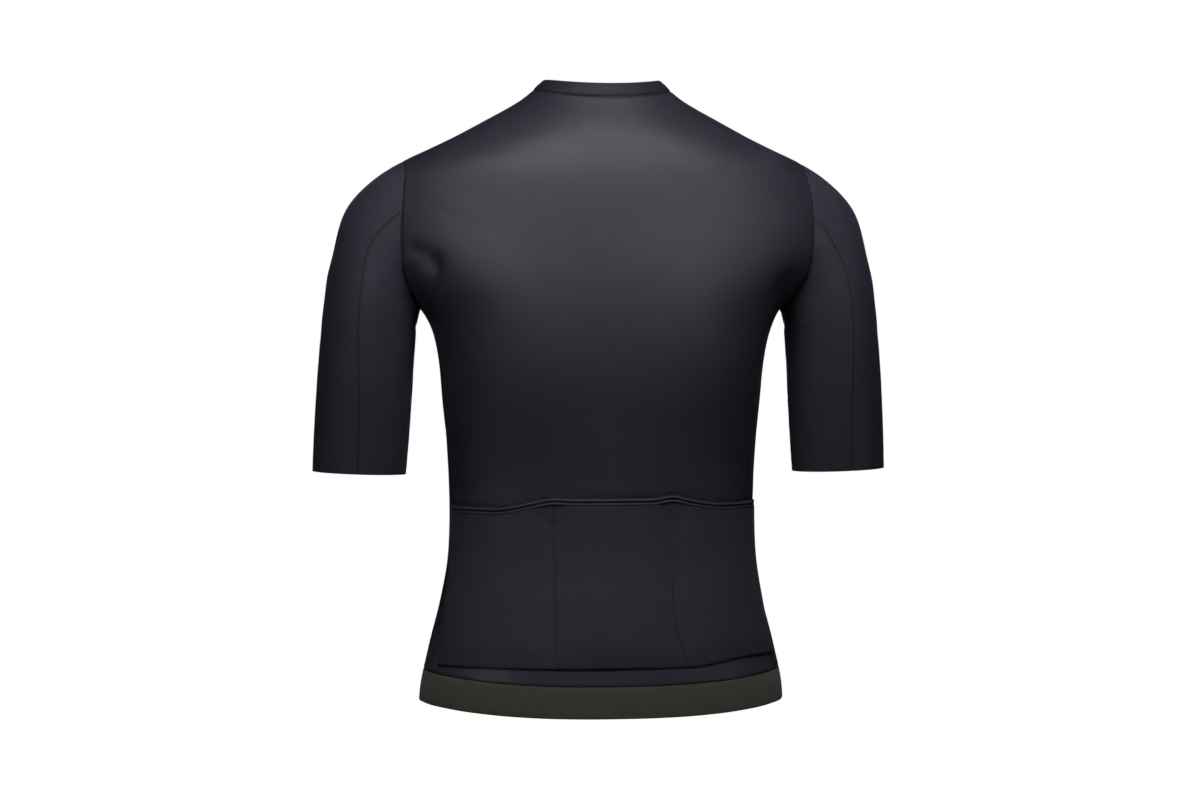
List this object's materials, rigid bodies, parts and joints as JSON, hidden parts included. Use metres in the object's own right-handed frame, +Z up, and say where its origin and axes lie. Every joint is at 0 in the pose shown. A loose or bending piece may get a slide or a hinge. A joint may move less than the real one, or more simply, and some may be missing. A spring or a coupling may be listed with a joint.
{
  "type": "cycling jersey",
  "caption": "Close-fitting short-sleeved cycling jersey in its worn form, with a full front zip, low collar and rear pockets.",
  "frame": {"origin": "middle of the neck base, level with the high points of the shoulders, where the wearer holds the jersey up", "axes": "+Z up, -Y to the front (the zip), +X to the wearer's left"},
  "size_m": [0.612, 0.2409, 0.6641],
  "materials": {
    "body_cloth": "smooth matt stretch knit with a soft sheen",
    "sleeve_cloth": "smooth stretch knit, a little duller than the body",
    "pocket_cloth": "fine stretch knit",
    "hem_elastic": "matt ribbed elastic",
    "zip_tape": "woven polyester tape",
    "zip_plastic": "moulded nylon",
    "zip_metal": "dark lacquered zinc"
  },
  "bodies": {
    "jersey": {"back": "body_cloth", "front_left": "body_cloth", "front_right": "body_cloth", "sleeve_outer_left": "sleeve_cloth", "sleeve_outer_right": "sleeve_cloth", "sleeve_under_left": "sleeve_cloth", "sleeve_under_right": "sleeve_cloth", "collar": "body_cloth", "hem_band": "hem_elastic", "pocket_panel": "pocket_cloth", "pocket_binding": "pocket_cloth", "zip_tape_left": "zip_tape", "zip_tape_right": "zip_tape", "zip_chain": "zip_plastic", "zip_box": "zip_plastic", "zip_slider": "zip_metal"},
    "pull": {"zip_pull": "zip_metal"}
  },
  "joints": [
    {"name": "pull_hinge", "type": "hinge", "parent": "jersey", "child": "pull", "pos_m": [0, -0.07104, -0.06327], "axis": [-1, 0, 0], "range_deg": [0, 150]}
  ]
}
